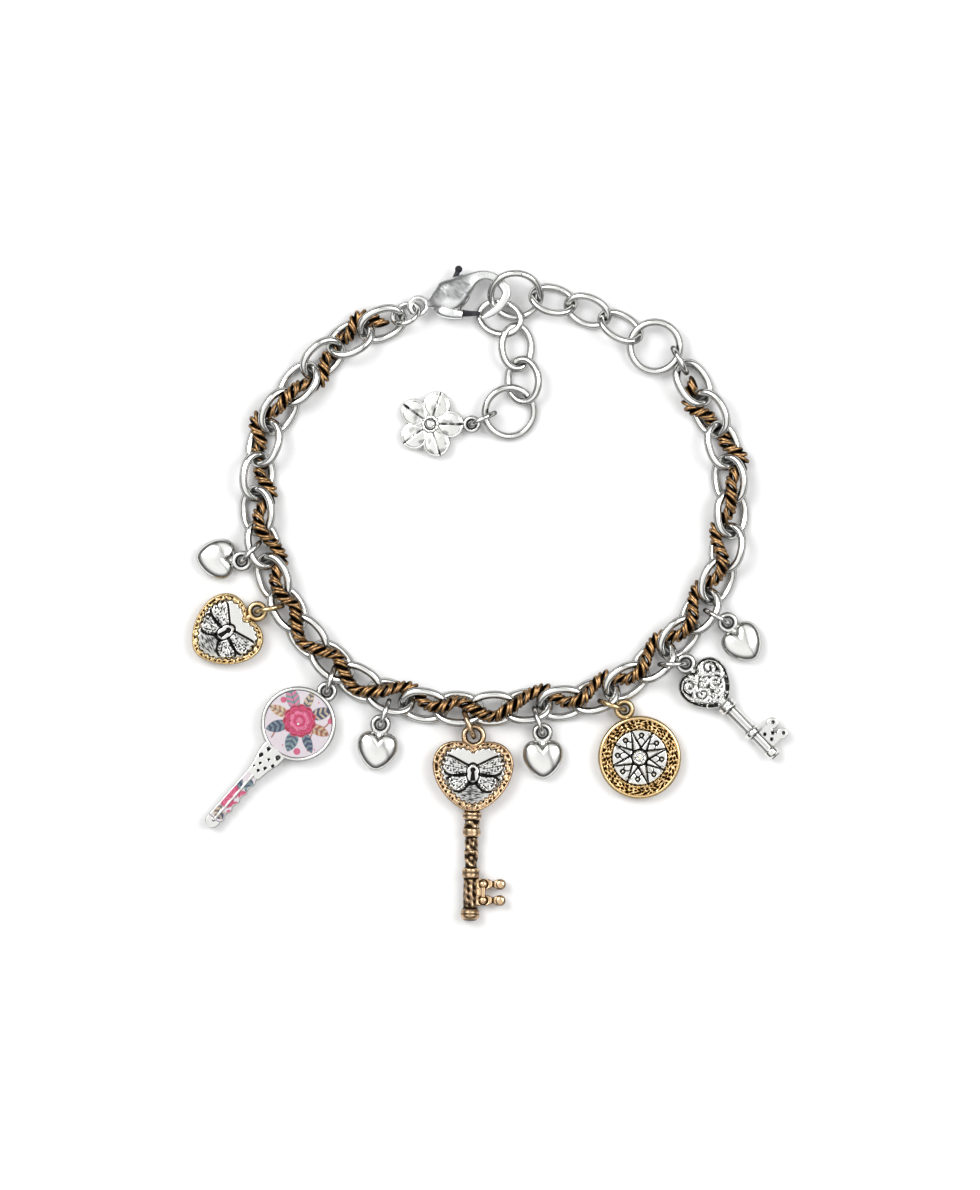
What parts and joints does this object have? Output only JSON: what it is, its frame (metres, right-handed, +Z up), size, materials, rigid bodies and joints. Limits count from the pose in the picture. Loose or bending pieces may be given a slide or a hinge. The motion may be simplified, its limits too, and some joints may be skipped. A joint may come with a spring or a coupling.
{
  "type": "charm bracelet",
  "caption": "Closed silver cable-chain bracelet with a woven fine chain, lobster clasp, extender and hanging heart, key and compass charms.",
  "frame": {"origin": "on the table, under the middle of the whole bracelet", "axes": "+Z up from the table; +Y from the charms towards the clasp; X across the bracelet"},
  "size_m": [0.0794, 0.0874, 0.0045],
  "materials": {
    "silver": "polished silver with dark recesses",
    "antique_brass": "antiqued brass",
    "rosy_brass": "antiqued rose-toned brass",
    "enamelled_metal": "silver with a pale printed enamel"
  },
  "bodies": {
    "bracelet": {"chain_link_01": "silver", "chain_link_02": "silver", "chain_link_03": "silver", "chain_link_04": "silver", "chain_link_05": "silver", "chain_link_06": "silver", "chain_link_07": "silver", "chain_link_08": "silver", "chain_link_09": "silver", "chain_link_10": "silver", "chain_link_11": "silver", "chain_link_12": "silver", "chain_link_13": "silver", "chain_link_14": "silver", "chain_link_15": "silver", "chain_link_16": "silver", "chain_link_17": "silver", "chain_link_18": "silver", "chain_link_19": "silver", "chain_link_20": "silver", "chain_link_21": "silver", "chain_link_22": "silver", "chain_link_23": "silver", "chain_link_24": "silver", "chain_link_25": "silver", "chain_link_26": "silver", "chain_link_27": "silver", "chain_link_28": "silver", "chain_link_29": "silver", "chain_link_30": "silver", "chain_link_31": "silver", "chain_link_32": "silver", "clasp_body": "silver", "clasp_link": "silver", "extender_hook_ring": "silver", "extender_chain": "silver", "extender_tail": "silver", "extender_jump_ring": "silver", "flower_tag": "silver", "flower_tag_jump_ring": "silver", "small_heart_1": "silver", "small_heart_2": "silver", "small_heart_3": "silver", "small_heart_4": "silver", "small_heart_1_jump_ring": "silver", "small_heart_2_jump_ring": "silver", "small_heart_3_jump_ring": "silver", "small_heart_4_jump_ring": "silver", "enamel_key_jump_ring": "silver", "silver_key": "silver", "silver_key_jump_ring": "silver", "butterfly_heart": "antique_brass", "butterfly_heart_jump_ring": "antique_brass", "compass_medallion": "antique_brass", "compass_medallion_jump_ring": "antique_brass", "fine_chain": "antique_brass", "heart_key": "rosy_brass", "heart_key_jump_ring": "rosy_brass", "enamel_key": "enamelled_metal"},
    "lever": {"clasp_lever": "silver"}
  },
  "joints": [
    {"name": "clasp_lever_hinge", "type": "hinge", "parent": "bracelet", "child": "lever", "pos_m": [-0.00505, 0.03949, 0.00196], "axis": [-0.0541, 0, 0.9985], "range_deg": [0, 20], "stiffness_Nm_per_rad": 0.003, "springref_deg": -29.79}
  ]
}
